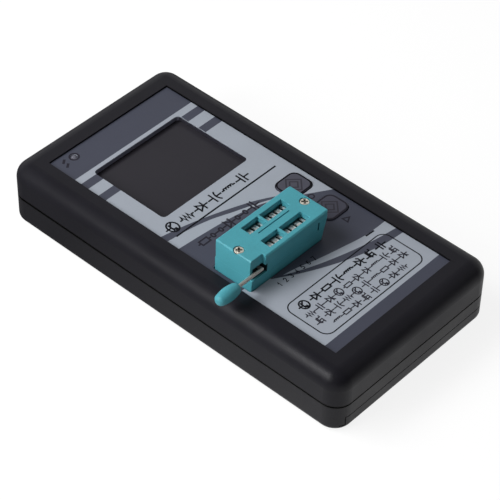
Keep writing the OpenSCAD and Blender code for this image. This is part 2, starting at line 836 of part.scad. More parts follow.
module lever_rod() color("#b4b6b8") {
    translate([pivot_x, lever_y, pivot_z]) {
        rotate([0, -90, 0]) cylinder(r = wire_r, h = lever_reach - knob_l / 2 + rod_in_knob);
        sphere(wire_r);
        rotate([-90, 0, 0]) cylinder(r = wire_r, h = axle_end - lever_y);
    }
}

// eccentric sleeve on the wire inside the socket
module lever_cam() color("#d9d9d2") {
    difference() {
        translate([pivot_x, cam_back, pivot_z + cam_throw]) rotate([90, 0, 0]) cylinder(r = cam_r, h = cam_l);
        translate([pivot_x, cam_back + overcut, pivot_z]) rotate([90, 0, 0])
            cylinder(r = wire_r + 0.01, h = cam_l + 2 * overcut);
    }
}

// blunt rounded barrel: a shallow arc that runs into rounded ends
side_r = 14;
tip_r = 1.7;
rod_in_knob = 2.5;

module lever_knob() color("#4fb3bb") {
    tip_y = knob_l / 2 - tip_r;
    tilt = asin(tip_y / (side_r - tip_r));
    join_y = side_r * sin(tilt);
    tip_x = knob_r - side_r + (side_r - tip_r) * cos(tilt);
    translate([pivot_x - lever_reach, lever_y, pivot_z]) rotate([0, 90, 0]) difference() {
        rotate_extrude() {
            intersection() {
                translate([knob_r - side_r, 0]) circle(side_r);
                translate([0, -join_y]) square([knob_r, 2 * join_y]);
            }
            for (side = [0, 1]) mirror([0, side, 0]) {
                intersection() {
                    translate([tip_x, tip_y]) circle(tip_r);
                    translate([tip_x, join_y]) square([knob_r, knob_l]);
                }
                translate([0, join_y]) square([tip_x, knob_l / 2 - join_y]);
            }
        }
        translate([0, 0, knob_l / 2 - rod_in_knob]) cylinder(r = wire_r, h = rod_in_knob + overcut);
    }
}

// ---------- battery ----------

battery_mid_z = battery_z + battery_t / 2;
can_end = battery_x + battery_l;
can_r = 2;
terminal_space = 12.7;
small_stud_r = 2.9;
large_stud_r = 4;
stud_h = 2.2;
stud_wall = 1;
stud_floor = 0.5;

module battery() color("#3a3d42") {
    translate([battery_x, battery_y, battery_mid_z]) rotate([90, 0, 90])
        linear_extrude(battery_l) rounded_rect(battery_w, battery_t, can_r);
}

module battery_terminals() color("#c8cacc") {
    translate([can_end, battery_y, battery_mid_z]) rotate([0, 90, 0]) {
        translate([0, terminal_space / 2, 0]) cylinder(r = small_stud_r, h = stud_h);
        translate([0, -terminal_space / 2, 0]) difference() {
            cylinder(r = large_stud_r, h = stud_h);
            translate([0, 0, stud_floor]) cylinder(r = large_stud_r - stud_wall, h = stud_h);
        }
    }
}

snap_w = 25;
snap_h = 12.6;
snap_t = 3.4;
snap_gap = 0.4;
snap_end = can_end + snap_gap + snap_t;
stud_gap = 0.3;
snap_socket = 1.9;

module snap_connector() color("#19191b") {
    translate([can_end + snap_gap, battery_y, battery_mid_z]) rotate([90, 0, 90]) difference() {
        linear_extrude(snap_t) rounded_rect(snap_w, snap_h, snap_h / 2 - 0.1);
        translate([terminal_space / 2, 0, -overcut]) cylinder(r = small_stud_r + stud_gap, h = snap_socket + overcut);
        translate([-terminal_space / 2, 0, -overcut]) cylinder(r = large_stud_r + stud_gap, h = snap_socket + overcut);
    }
}

// lead from the connector, over the bay wall and up to the board
lead_r = 0.6;
lead_space = 0.9;       // sideways distance of each lead from the connector's middle

module lead(x) {
    start_y = battery_y + snap_w / 2 - 0.2;
    end_y = board_low + 3;
    lead_z = bay_wall_top + lead_r + 0.2;
    translate([x, 0, 0]) {
        translate([0, start_y, lead_z]) rotate([-90, 0, 0]) cylinder(r = lead_r, h = end_y - start_y);
        translate([0, end_y, lead_z]) sphere(lead_r);
        translate([0, end_y, lead_z]) cylinder(r = lead_r, h = board_z - lead_z);
    }
}

module red_lead() color("#b3241f") lead(snap_end - snap_t / 2 + lead_space);
module black_lead() color("#19191b") lead(snap_end - snap_t / 2 - lead_space);

bottom_shell();
top_shell();
battery_door();
front_label();
ok_key();
test_key();
ok_plunger();
test_plunger();
key_switches();
display_glass();
display_frame();
display_flex();
status_lamp();
main_board();
board_screws();
case_screws();
microcontroller();
microcontroller_legs();
crystal();
tall_capacitors();
chip_parts();
voltage_regulator();
boost_coil();
pin_risers();
socket_base();
socket_cover();
socket_pusher();
back_contacts();
front_contacts();
socket_screws();
lever_rod();
lever_cam();
lever_knob();
battery();
battery_terminals();
snap_connector();
red_lead();
black_lead();
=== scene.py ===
import math

import bmesh
import bpy
from mathutils import Matrix, Vector
from mathutils.geometry import delaunay_2d_cdt

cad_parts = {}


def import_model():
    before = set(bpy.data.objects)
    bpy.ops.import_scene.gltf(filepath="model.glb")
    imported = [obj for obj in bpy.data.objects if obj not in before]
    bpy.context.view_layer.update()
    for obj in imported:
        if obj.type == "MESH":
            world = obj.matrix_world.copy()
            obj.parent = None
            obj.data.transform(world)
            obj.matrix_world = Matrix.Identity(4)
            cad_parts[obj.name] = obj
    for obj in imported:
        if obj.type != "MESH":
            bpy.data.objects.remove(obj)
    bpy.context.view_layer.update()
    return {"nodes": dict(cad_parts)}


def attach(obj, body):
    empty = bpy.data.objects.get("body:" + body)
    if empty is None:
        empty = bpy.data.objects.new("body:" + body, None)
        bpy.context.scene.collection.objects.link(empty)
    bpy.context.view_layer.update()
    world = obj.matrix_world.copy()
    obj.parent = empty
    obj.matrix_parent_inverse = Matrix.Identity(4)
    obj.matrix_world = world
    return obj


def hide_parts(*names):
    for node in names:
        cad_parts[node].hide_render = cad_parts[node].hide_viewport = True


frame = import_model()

MM = 0.001
nodes = frame["nodes"]
scene = bpy.context.scene


def mm(p):
    return Vector(p) * MM


def box_of(name):
    """Lowest and highest corner of a CAD node, in mm."""
    corners = [nodes[name].matrix_world @ Vector(c) / MM for c in nodes[name].bound_box]
    return [min(v) for v in zip(*corners)], [max(v) for v in zip(*corners)]


def middle_of(name):
    return [(a + b) / 2 for a, b in zip(*box_of(name))]


# ---------------------------------------------------------------- camera
def place_camera():
    """The view fitted to the case's outline, the label's rim and the contacts in the photo."""
    turn, rise, roll = (math.radians(v) for v in (-48.42, 43.773, 1.452))
    target, distance = mm((-4.236, -6.0, 12.0)), 0.65173
    focal_px, picture_px, sensor_mm = 2112.6, 500, 36
    back = Vector((math.sin(turn) * math.cos(rise), -math.cos(turn) * math.cos(rise), math.sin(rise)))
    right = (-back).cross(Vector((0, 0, 1))).normalized()
    up = right.cross(-back)
    side = right * math.cos(roll) + up * math.sin(roll)
    top = up * math.cos(roll) - right * math.sin(roll)
    data = bpy.data.cameras.new("camera")
    data.sensor_width = sensor_mm
    data.lens = focal_px / picture_px * sensor_mm
    data.clip_start = 0.01
    cam = bpy.data.objects.new("camera", data)
    scene.collection.objects.link(cam)
    facing = Matrix((side, top, back)).transposed().to_4x4()
    cam.matrix_world = Matrix.Translation(target + back * distance) @ facing
    scene.camera = cam


place_camera()

# ---------------------------------------------------------------- materials
def node_material(name):
    m = bpy.data.materials.new(name)
    m.use_nodes = True
    tree = m.node_tree
    tree.nodes.clear()
    return m, tree


def add(tree, kind, **values):
    """A shader node; in_Some_Name sets the input "Some Name", the rest are the node's own settings."""
    n = tree.nodes.new(kind)
    for k, v in values.items():
        if k.startswith("in_"):
            n.inputs[k[3:].replace("_", " ")].default_value = v
        else:
            setattr(n, k, v)
    return n


def feed(tree, value, socket):
    """Links a node's output to the socket, or writes a plain value into it."""
    if isinstance(value, bpy.types.NodeSocket):
        tree.links.new(value, socket)
    else:
        socket.default_value = value


def maths(tree, operation, a, b):
    n = add(tree, "ShaderNodeMath", operation=operation)
    feed(tree, a, n.inputs[0])
    feed(tree, b, n.inputs[1])
    return n.outputs["Value"]


def vector_maths(tree, operation, a, b=None, out="Vector"):
    n = add(tree, "ShaderNodeVectorMath", operation=operation)
    feed(tree, a, n.inputs[0])
    if b is not None:
        feed(tree, b, n.inputs[1])
    return n.outputs[out]


def scaled(tree, colour, factor):
    n = add(tree, "ShaderNodeVectorMath", operation="SCALE")
    feed(tree, colour, n.inputs[0])
    feed(tree, factor, n.inputs["Scale"])
    return n.outputs["Vector"]


def axes(tree, vector):
    n = add(tree, "ShaderNodeSeparateXYZ")
    tree.links.new(vector, n.inputs["Vector"])
    return n.outputs["X"], n.outputs["Y"], n.outputs["Z"]


def ramp(tree, value, start, end, low, high):
    """low at start, high at end, straight between them and level beyond them."""
    n = add(tree, "ShaderNodeMapRange", in_From_Min=start, in_From_Max=end, in_To_Min=low, in_To_Max=high)
    tree.links.new(value, n.inputs["Value"])
    return n.outputs["Result"]


def painted_light_box(tree, point, centre, half, level):
    """The factor level inside a box and 1 outside it, sizes in mm: painted shade where level is below 1, such
    as in a deep pocket, and painted light where it is above 1.
    """
    away = vector_maths(tree, "ABSOLUTE", vector_maths(tree, "SUBTRACT", point, mm(centre)))
    x, y, z = axes(tree, vector_maths(tree, "DIVIDE", away, mm(half)))
    return ramp(tree, maths(tree, "MAXIMUM", maths(tree, "MAXIMUM", x, y), z), 0.92, 1.0, level, 1.0)


def painted_depth_shade(tree, point, low, high, level):
    """A factor that falls to level between two heights: painted shade on metal deep in its cells and hollows;
    heights in mm.
    """
    return ramp(tree, axes(tree, point)[2], low * MM, high * MM, level, 1.0)


def shade_under(tree, point, y, z, radius, level):
    """The factor level inside a lengthwise cylinder, such as the room under arched jaws; sizes in mm."""
    flat = vector_maths(tree, "MULTIPLY", vector_maths(tree, "SUBTRACT", point, mm((0, y, z))), (0, 1, 1))
    reach = vector_maths(tree, "LENGTH", flat, out="Value")
    return ramp(tree, reach, (radius - 0.15) * MM, radius * MM, level, 1.0)


def edge_highlight_and_wear_factor(tree, normal, gain):
    """A factor that grows from 1 to 1 + gain where the rounded normal leaves the face: painted highlight on
    the edges together with their rubbed wear.
    """
    face = add(tree, "ShaderNodeNewGeometry")
    same = vector_maths(tree, "DOT_PRODUCT", face.outputs["Normal"], normal, out="Value")
    return ramp(tree, same, 1.0, 0.75, 1.0, 1.0 + gain)


def finish_of(name, colour, rough, vary=0.06, patch=60.0, grain=3000.0, bump=0.00002, bump_strength=0.25,
              rough_vary=0.06, metal=0.0, bevel=0.0, spec=0.5, coat=0.0, stretch=(1, 1, 1), speck=0.0,
              boxes=(), deep=None, under=None, edge_highlight_and_wear=0.0):
    """A solid finish whose tone, gloss and surface vary with the object's own coordinates.
    patch and grain are the scales of the broad and the fine noise, speck is the fine noise's share in the
    tone, and boxes, deep, under and edge_highlight_and_wear hold what the functions above take: painted shade
    and painted light in boxes, painted shade low in hollows and under arches, and painted highlight with wear
    on edges."""
    m, t = node_material(name)
    point = add(t, "ShaderNodeTexCoord").outputs["Object"]
    squeeze = add(t, "ShaderNodeMapping", in_Scale=stretch)
    t.links.new(point, squeeze.inputs["Vector"])
    broad = add(t, "ShaderNodeTexNoise", in_Scale=patch, in_Detail=4.0, in_Roughness=0.55)
    fine = add(t, "ShaderNodeTexNoise", in_Scale=grain, in_Detail=3.0, in_Roughness=0.6)
    for noise in (broad, fine):
        t.links.new(squeeze.outputs["Vector"], noise.inputs["Vector"])
    gloss = ramp(t, broad.outputs["Fac"], 0.3, 0.7, rough - rough_vary, rough + rough_vary)
    relief = add(t, "ShaderNodeBump", in_Strength=bump_strength, in_Distance=bump)
    t.links.new(fine.outputs["Fac"], relief.inputs["Height"])

    factors = [ramp(t, broad.outputs["Fac"], 0.25, 0.75, 1 - vary, 1 + vary)]
    if speck:
        factors.append(ramp(t, fine.outputs["Fac"], 0.3, 0.7, 1 - speck, 1 + speck))
    factors += [painted_light_box(t, point, *box) for box in boxes]
    if deep:
        factors.append(painted_depth_shade(t, point, *deep))
    if under:
        factors.append(shade_under(t, point, *under))
    if bevel:
        edge = add(t, "ShaderNodeBevel", samples=4, in_Radius=bevel)
        t.links.new(edge.outputs["Normal"], relief.inputs["Normal"])
        if edge_highlight_and_wear:
            factors.append(edge_highlight_and_wear_factor(t, edge.outputs["Normal"], edge_highlight_and_wear))
    tone = colour
    for factor in factors:
        tone = scaled(t, tone, factor)

    body = add(t, "ShaderNodeBsdfPrincipled", in_Metallic=metal, in_Specular_IOR_Level=spec,
               in_Coat_Weight=coat)
    t.links.new(tone, body.inputs["Base Color"])
    t.links.new(gloss, body.inputs["Roughness"])
    t.links.new(relief.outputs["Normal"], body.inputs["Normal"])
    out = add(t, "ShaderNodeOutputMaterial")
    t.links.new(body.outputs["BSDF"], out.inputs["Surface"])
    return m


def socket_plastic(name, boxes=()):
    # painted highlight and wear on the edges
    return finish_of(name, (0.082, 0.389, 0.460), 0.46, vary=0.06, patch=160, grain=2200, bump=0.00002,
                     bump_strength=0.35, bevel=0.00026, spec=0.35, speck=0.05, edge_highlight_and_wear=0.25, boxes=boxes)


def contact_metal(row):
    """Bright leaves, with painted shade under their arch and across their far part."""
    y = middle_of(row)[1]
    arch_z, arch_r = 25.4, 4.66
    return finish_of(row + "_metal", (0.90, 0.90, 0.88), 0.36, vary=0.10, patch=1200, grain=5200, metal=0.6,
                     # painted shade under the arch, and a box of painted shade on the leaves' far part
                     bevel=0.00010, under=(y, arch_z, arch_r, 0.03),
                     boxes=[((0, y + 2.4, arch_z + 2), (40, 1.1, 4), 0.35)])


# places in the frame, in mm
(_, LABEL_Y0, LABEL_BACK), (LABEL_X, LABEL_Y, LABEL_Z) = box_of("front_label")
WINDOW_X, WINDOW_Y = middle_of("display_glass")[:2]
SCREW_TOP = box_of("socket_screws")[1][2]

# painted shade and painted light on grooves, walls and recesses, in mm: centre, half size, level of the tone,
# below 1 for shade and above 1 for light
# painted shade along the parting groove between the shells
SEAM_SHADE = ((0, 0, 10.05), (100, 100, 0.6), 0.06)
# painted light on the window's recess walls, which lie in shade
WINDOW_WALL_LIGHT = ((WINDOW_X, WINDOW_Y, 20.0), (19.6, 15.9, 1.25), 6.0)
# more painted light on the window's far wall, in the key light's shadow
WINDOW_WALL_TOP_LIGHT = ((WINDOW_X, WINDOW_Y + 15.4, 20.0), (19.6, 0.6, 1.25), 5.0)
# painted shade along the recess wall at the label's right edge
RECESS_WALL_SHADE = ((LABEL_X + 0.1, 0, LABEL_Z + 0.2), (0.2, 62, 0.6), 0.15)
# painted shade in the pocket around the lever rod
LEVER_RECESS_SHADE = ((-20.55, -23.7, 27.1), (2.7, 1.7, 1.85), 0.05)
# painted shade in the slot on the cover's front
LATCH_SLOT_SHADE = ((4.9, -24.95, 28.1), (0.42, 0.28, 1.75), 0.3)
# painted shade in the base's recess below the lever pocket
BASE_RECESS_SHADE = ((-20.55, -23.2, 25.5), (2.6, 1.3, 0.3), 0.08)

# painted shade on the parting groove and the recess wall, painted light on the window walls
CASE = finish_of("black_case", (0.0135, 0.013, 0.0175), 0.42, vary=0.12, patch=45, grain=3600,
                 bump=0.00003, bump_strength=0.5, bevel=0.00012, spec=0.14, speck=0.10,
                 boxes=[SEAM_SHADE, WINDOW_WALL_LIGHT, WINDOW_WALL_TOP_LIGHT, RECESS_WALL_SHADE])
CASE_LOW = finish_of("black_case_low", (0.0135, 0.013, 0.0165), 0.42, vary=0.14, patch=45, grain=2600,
                     bump=0.00004, bump_strength=0.6, bevel=0.00012, spec=0.20, speck=0.18, boxes=[SEAM_SHADE])
LABEL = finish_of("label_film", (0.406, 0.442, 0.504), 0.45, vary=0.03, patch=90, grain=2600, spec=0.25,
                  rough_vary=0.04, speck=0.02)
DARK_INK = finish_of("ink_slate", (0.066, 0.071, 0.100), 0.45, vary=0.05, patch=70, grain=2600, spec=0.25,
                     rough_vary=0.04, speck=0.03)
BLACK_INK = finish_of("ink_black", (0.005, 0.005, 0.008), 0.45, patch=300, grain=2600, spec=0.08)
SOFT_INK = finish_of("ink_soft", (0.024, 0.022, 0.032), 0.45, patch=300, grain=2600, spec=0.12)
KEY_INK = finish_of("key_film", (0.078, 0.078, 0.104), 0.42, vary=0.05, patch=160, grain=2600, spec=0.25)
KEY_INK_LOW = finish_of("key_film_low", (0.067, 0.067, 0.094), 0.42, vary=0.05, patch=160, grain=2600,
                        spec=0.25)
KEY_MARK = finish_of("key_mark", (0.034, 0.032, 0.045), 0.42, vary=0.05, patch=200, grain=2600, spec=0.25)
TEAL = socket_plastic("socket_plastic")
# painted shade in the lever pocket, the latch slot and the base recess
COVER = socket_plastic("socket_plastic_cover", [LEVER_RECESS_SHADE, LATCH_SLOT_SHADE])
BASE = socket_plastic("socket_plastic_base", [BASE_RECESS_SHADE])
TEAL_DARK = finish_of("socket_dark", (0.040, 0.200, 0.230), 0.5, patch=200, grain=2200, bevel=0.0001)
BLACK = finish_of("black_plastic", (0.014, 0.014, 0.015), 0.5, vary=0.12, patch=220, grain=2600, spec=0.35)
WHITE = finish_of("white_plastic", (0.74, 0.74, 0.70), 0.5, vary=0.04, patch=120, grain=2200)
SCREEN = finish_of("display_glass", (0.034, 0.032, 0.039), 0.20, patch=40, grain=900, bump=0.000004,
                   bump_strength=0.1, rough_vary=0.02, spec=0.12)
STEEL = finish_of("steel", (0.56, 0.56, 0.55), 0.30, vary=0.10, patch=900, grain=5000, metal=1.0,
                  stretch=(1, 6, 6))
DARK_STEEL = finish_of("dark_steel", (0.07, 0.07, 0.075), 0.38, vary=0.12, patch=700, grain=4000,
                       metal=1.0)
TIN = finish_of("tin", (0.68, 0.68, 0.67), 0.32, vary=0.10, patch=700, grain=4200, metal=1.0)
WIRE = finish_of("lever_wire", (0.55, 0.54, 0.50), 0.30, vary=0.12, patch=900, grain=5000, metal=0.7,
                 stretch=(1, 6, 6))
# painted shade in the cross recess of the screw heads
BRASS = finish_of("socket_screw", (0.88, 0.83, 0.72), 0.36, vary=0.16, patch=1100, grain=5200, metal=0.7,
                  bevel=0.00010, deep=(SCREW_TOP - 0.4, SCREW_TOP - 0.08, 0.2))
SWITCH = finish_of("switch_metal", (0.58, 0.59, 0.60), 0.34, vary=0.08, patch=600, grain=4200, metal=1.0)
BOARD = finish_of("board", (0.010, 0.095, 0.045), 0.36, vary=0.16, patch=180, grain=1500, spec=0.5)
RIBBON = finish_of("ribbon", (0.42, 0.20, 0.035), 0.32, vary=0.10, patch=260, grain=1800)
EPOXY = finish_of("chip_body", (0.014, 0.014, 0.015), 0.56, vary=0.14, patch=500, grain=4200,
                  bump_strength=0.5)
SLEEVE = finish_of("capacitor_sleeve", (0.020, 0.032, 0.13), 0.30, vary=0.08, patch=300, grain=2600)
CERAMIC = finish_of("chip_ceramic", (0.30, 0.20, 0.10), 0.5, vary=0.16, patch=900, grain=4200)
FERRITE = finish_of("ferrite", (0.040, 0.040, 0.042), 0.62, vary=0.16, patch=600, grain=3800,
                    bump_strength=0.6)
CAN = finish_of("battery_can", (0.050, 0.055, 0.065), 0.34, vary=0.08, patch=90, grain=1800, coat=0.3)
RED = finish_of("red_sleeve", (0.50, 0.022, 0.016), 0.38, vary=0.08, patch=500, grain=2600)


def lamp_lens():
    """Clouded plastic."""
    m, t = node_material("lamp_lens")
    where = add(t, "ShaderNodeTexCoord")
    cloud = add(t, "ShaderNodeTexNoise", in_Scale=700.0, in_Detail=3.0)
    t.links.new(where.outputs["Object"], cloud.inputs["Vector"])
    tones = add(t, "ShaderNodeValToRGB")
    for stop, position, colour in zip(tones.color_ramp.elements, (0.3, 0.75),
                                      ((0.125, 0.125, 0.155, 1), (0.165, 0.165, 0.20, 1))):
        stop.position = position
        stop.color = colour
    t.links.new(cloud.outputs["Fac"], tones.inputs["Fac"])
    relief = add(t, "ShaderNodeBump", in_Strength=0.2, in_Distance=0.00001)
    t.links.new(cloud.outputs["Fac"], relief.inputs["Height"])
    body = add(t, "ShaderNodeBsdfPrincipled", in_Roughness=0.6, in_Specular_IOR_Level=0.15)
    t.links.new(tones.outputs["Color"], body.inputs["Base Color"])
    t.links.new(relief.outputs["Normal"], body.inputs["Normal"])
    out = add(t, "ShaderNodeOutputMaterial")
    t.links.new(body.outputs["BSDF"], out.inputs["Surface"])
    return m


finish = {
    "bottom_shell": CASE_LOW, "top_shell": CASE, "battery_door": CASE_LOW, "front_label": LABEL,
    "ok_key": KEY_INK, "test_key": KEY_INK_LOW, "ok_plunger": BLACK, "test_plunger": BLACK,
    "key_switches": SWITCH, "display_glass": SCREEN, "display_frame": WHITE, "display_flex": RIBBON,
    "status_lamp": lamp_lens(), "main_board": BOARD, "board_screws": STEEL, "case_screws": DARK_STEEL,
    "microcontroller": EPOXY, "microcontroller_legs": TIN, "crystal": TIN, "tall_capacitors": SLEEVE,
    "chip_parts": CERAMIC, "voltage_regulator": EPOXY, "boost_coil": FERRITE, "pin_risers": BLACK,
    "socket_base": BASE, "socket_cover": COVER, "socket_pusher": TEAL_DARK,
    "back_contacts": contact_metal("back_contacts"), "front_contacts": contact_metal("front_contacts"),
    "socket_screws": BRASS, "lever_rod": WIRE, "lever_cam": WHITE,
    "lever_knob": TEAL, "battery": CAN, "battery_terminals": TIN, "snap_connector": BLACK,
    "red_lead": RED, "black_lead": BLACK}
for name, node in nodes.items():
    for slot in node.material_slots:
        slot.material = finish[name]
    if not node.material_slots:
        node.data.materials.append(finish[name])


# ---------------------------------------------------------------- flat printed shapes, in mm
SHARPEST_MITRE = 0.4


def loop_area(points):
    return sum(a[0] * b[1] - b[0] * a[1] for a, b in zip(points, points[1:] + points[:1])) / 2


def ccw(points):
    return list(points) if loop_area(points) > 0 else list(points)[::-1]


def rect(x0, y0, x1, y1):
    return [(x0, y0), (x1, y0), (x1, y1), (x0, y1)]


def round_rect(cx, cy, w, h, r, steps=6):
    out = []
    for qx, qy, start in ((1, 1, 0), (-1, 1, 90), (-1, -1, 180), (1, -1, 270)):
        for i in range(steps + 1):
            a = math.radians(start + 90 * i / steps)
            out.append((cx + qx * (w / 2 - r) + r * math.cos(a), cy + qy * (h / 2 - r) + r * math.sin(a)))
    return out


def ring_points(cx, cy, r, steps=24, start=0.0, turn=360.0):
    n = steps if turn >= 360 else steps + 1
    return [(cx + r * math.cos(math.radians(start + turn * i / steps)),
             cy + r * math.sin(math.radians(start + turn * i / steps))) for i in range(n)]


def stroke(points, width, closed=False):
    """Mitred quads along a line, with square ends half a width beyond its points."""
    n = len(points)
    sides = []
    for i, point in enumerate(points):
        here = Vector(point)
        before = (here - Vector(points[i - 1])).normalized() if i or closed else None
        after = (Vector(points[(i + 1) % n]) - here).normalized() if i < n - 1 or closed else None
        along = (before or after) + (after or before)
        along = along.normalized() if along.length > 1e-6 else before
        across = Vector((-along.y, along.x))
        entry = before or after
        mitre = max(SHARPEST_MITRE, across.dot(Vector((-entry.y, entry.x))))
        tip = Vector((0, 0))
        if before is None:
            tip = -after * width / 2
        if after is None:
            tip = before * width / 2
        off = across * (width / 2 / mitre)
        sides.append((tuple(here + off + tip), tuple(here - off + tip)))
    pairs = list(zip(sides, sides[1:])) + ([(sides[-1], sides[0])] if closed else [])
    return [ccw([a[0], a[1], b[1], b[0]]) for a, b in pairs]


def curve_through(points, steps=8):
    """Smooth line through the given points."""
    out = []
    for i in range(len(points) - 1):
        p0, p1, p2, p3 = (Vector(points[max(0, min(len(points) - 1, k))]) for k in (i - 1, i, i + 1, i + 2))
        for s in range(steps):
            t = s / steps
            q = 0.5 * ((2 * p1) + (p2 - p0) * t + (2 * p0 - 5 * p1 + 4 * p2 - p3) * t * t
                       + (3 * p1 - p0 - 3 * p2 + p3) * t ** 3)
            out.append((q.x, q.y))
    return out + [tuple(points[-1])]


def arc(cx, cy, r, start, turn, steps=8):
    return ring_points(cx, cy, r, steps, start, turn)


# generic circuit symbols, each from (0, 0) to (1, 0) with a half height of about 0.36
SYMBOLS = {
    "resistor": [[(0, 0), (0.16, 0)],
                 [(0.16, -0.14), (0.84, -0.14), (0.84, 0.14), (0.16, 0.14), (0.16, -0.14)],
                 [(0.84, 0), (1, 0)]],
    "zigzag": [[(0, 0), (0.14, 0), (0.2, 0.2), (0.32, -0.2), (0.44, 0.2), (0.56, -0.2), (0.68, 0.2),
                (0.8, -0.2), (0.86, 0), (1, 0)]],
    "capacitor": [[(0, 0), (0.38, 0)], [(0.38, -0.3), (0.38, 0.3)], [(0.62, -0.3), (0.62, 0.3)],
                  [(0.62, 0), (1, 0)]],
    "polar": [[(0, 0), (0.36, 0)], [(0.36, -0.3), (0.36, 0.3)], arc(1.03, 0, 0.42, 136, 88),
              [(0.61, 0), (1, 0)]],
    "coil": [[(0, 0), (0.12, 0)]] + [arc(0.215 + 0.19 * i, 0, 0.095, 180, -180) for i in range(4)]
            + [[(0.88, 0), (1, 0)]],
    "diode": [[(0, 0), (0.3, 0)], [(0.3, -0.24), (0.3, 0.24), (0.68, 0), (0.3, -0.24)],
              [(0.7, -0.26), (0.7, 0.26)], [(0.7, 0), (1, 0)]],
    "zener": [[(0, 0), (0.3, 0)], [(0.3, -0.24), (0.3, 0.24), (0.68, 0), (0.3, -0.24)],
              [(0.8, -0.32), (0.7, -0.24), (0.7, 0.24), (0.6, 0.32)], [(0.7, 0), (1, 0)]],
    "npn": [ring_points(0.5, 0, 0.36, 16) + [(0.86, 0)], [(0, 0), (0.38, 0)], [(0.38, -0.2), (0.38, 0.2)],
            [(0.38, 0.08), (0.62, 0.27)], [(0.38, -0.08), (0.62, -0.27)],
            [(0.5, -0.26), (0.62, -0.27), (0.58, -0.15)]],
    "mos": [[(0, -0.16), (0.3, -0.16)], [(0.3, -0.22), (0.3, 0.22)], [(0.42, -0.3), (0.42, -0.14)],
            [(0.42, -0.08), (0.42, 0.08)], [(0.42, 0.14), (0.42, 0.3)],
            [(0.42, 0.22), (0.72, 0.22), (0.72, 0.34)], [(0.42, -0.22), (0.72, -0.22), (0.72, -0.34)],
            [(0.42, 0), (0.72, 0), (0.72, -0.22)]],
    "thyristor": [[(0, 0), (0.3, 0)], [(0.3, -0.24), (0.3, 0.24), (0.68, 0), (0.3, -0.24)],
                  [(0.7, -0.26), (0.7, 0.26)], [(0.7, 0), (1, 0)], [(0.7, 0), (0.86, -0.26)]],
    "terminals": [ring_points(0.14, 0, 0.12, 12) + [(0.26, 0)], [(0.28, 0), (0.72, 0)],
                  ring_points(0.86, 0, 0.12, 12) + [(0.98, 0)]],
}

# plain digits, one unit wide and high
DIGITS = {
    "1": [[(0.15, 0.72), (0.5, 1), (0.5, 0)]],
    "2": [[(0.1, 0.78), (0.28, 0.98), (0.62, 0.98), (0.84, 0.76), (0.76, 0.5), (0.1, 0), (0.9, 0)]],
    "3": [[(0.1, 0.86), (0.36, 1), (0.74, 0.92), (0.8, 0.68), (0.44, 0.54), (0.86, 0.38), (0.8, 0.1),
           (0.42, 0), (0.08, 0.12)]],
    "4": [[(0.66, 0), (0.66, 1), (0.06, 0.3), (0.92, 0.3)]],
    "5": [[(0.84, 1), (0.2, 1), (0.14, 0.58), (0.5, 0.64), (0.86, 0.46), (0.8, 0.12), (0.44, 0),
           (0.08, 0.1)]],
    "6": [[(0.78, 0.94), (0.4, 0.92), (0.12, 0.5), (0.16, 0.12), (0.5, 0), (0.84, 0.16), (0.82, 0.46),
           (0.5, 0.58), (0.16, 0.4)]],
    "7": [[(0.08, 1), (0.88, 1), (0.4, 0)]],
}


def draw(figure, x, y, w, h, line):
    out = []
    for path in figure:
        out += stroke([(x + px * w, y + py * h) for px, py in path], line)
    return out


def row(names, x0, x1, y, wide, tall, line):
    """Symbols evenly spaced between x0 and x1; wide is one symbol's width, tall the scale of its height."""
    figures = [SYMBOLS[name] for name in names.split()]
    step = (x1 - x0 - wide) / (len(figures) - 1)
    out = []
    for i, figure in enumerate(figures):
        out += draw(figure, x0 + i * step, y, wide, tall, line)
    return out


# ---------------------------------------------------------------- partitioned film
def film(name, outline, layers, holes, z_top, thickness, materials):
    """A thin film whose face is divided into exact printed areas, in mm.
    layers is [(material index, [polygons])], the later ones lie over the earlier ones."""
    points, faces, kind = [], [], []

    def take(poly, what):
        poly = ccw(poly)
        start = len(points)
        points.extend(Vector(p) for p in poly)
        faces.append(list(range(start, start + len(poly))))
        kind.append(what)

    take(outline, "outline")
    for rank, (material, polys) in enumerate(layers):
        for poly in polys:
            take(poly, (rank, material))
    for hole in holes:
        take(hole, "hole")
    vs, _, fs, _, _, origin = delaunay_2d_cdt(points, [], faces, 1, 1e-4, True)
    bm = bmesh.new()
    verts = [bm.verts.new((p.x * MM, p.y * MM, z_top * MM)) for p in vs]
    for tri, from_faces in zip(fs, origin):
        kinds = [kind[f] for f in from_faces]
        if "outline" not in kinds or "hole" in kinds:
            continue
        printed = [k for k in kinds if isinstance(k, tuple)]
        face = bm.faces.new([verts[i] for i in tri])
        face.material_index = max(printed)[1] if printed else 0
    bmesh.ops.delete(bm, geom=[v for v in bm.verts if not v.link_faces], context="VERTS")
    bm.normal_update()
    for f in bm.faces:
        if f.normal.z < 0:
            f.normal_flip()
    bmesh.ops.dissolve_limit(bm, angle_limit=0.01, verts=list(bm.verts), edges=list(bm.edges),
                             delimit={"MATERIAL"})
    copied = bmesh.ops.extrude_face_region(bm, geom=list(bm.faces), use_keep_orig=True)
    lower = [g for g in copied["geom"] if isinstance(g, bmesh.types.BMVert)]
    bmesh.ops.translate(bm, verts=lower, vec=(0, 0, -thickness * MM))
    bmesh.ops.recalc_face_normals(bm, faces=list(bm.faces))
    for f in bm.faces:
        if f.normal.z < 0.9:
            f.material_index = 0
    bmesh.ops.triangulate(bm, faces=[f for f in bm.faces if len(f.verts) > 4])
    data = bpy.data.meshes.new(name)
    bm.to_mesh(data)
    bm.free()
    for m in materials:
        data.materials.append(m)
    obj = bpy.data.objects.new(name, data)
    scene.collection.objects.link(obj)
    return obj


# ---------------------------------------------------------------- printed label and keys, in mm
# the openings have the sizes that they have in part.scad
WINDOW = round_rect(WINDOW_X, WINDOW_Y, 38.3, 30.9, 1.5)
SOCKET_HOLE = round_rect(-8.72, -17.264, 32.431, 15.728, 1.05)
LAMP = middle_of("status_lamp")[:2]
LAMP_HOLE_R = 1.2
KEY_W, KEY_L, KEY_R, KEY_GAP = 10.1, 9.0, 2.6, 0.3
KEY_FILM = 0.04


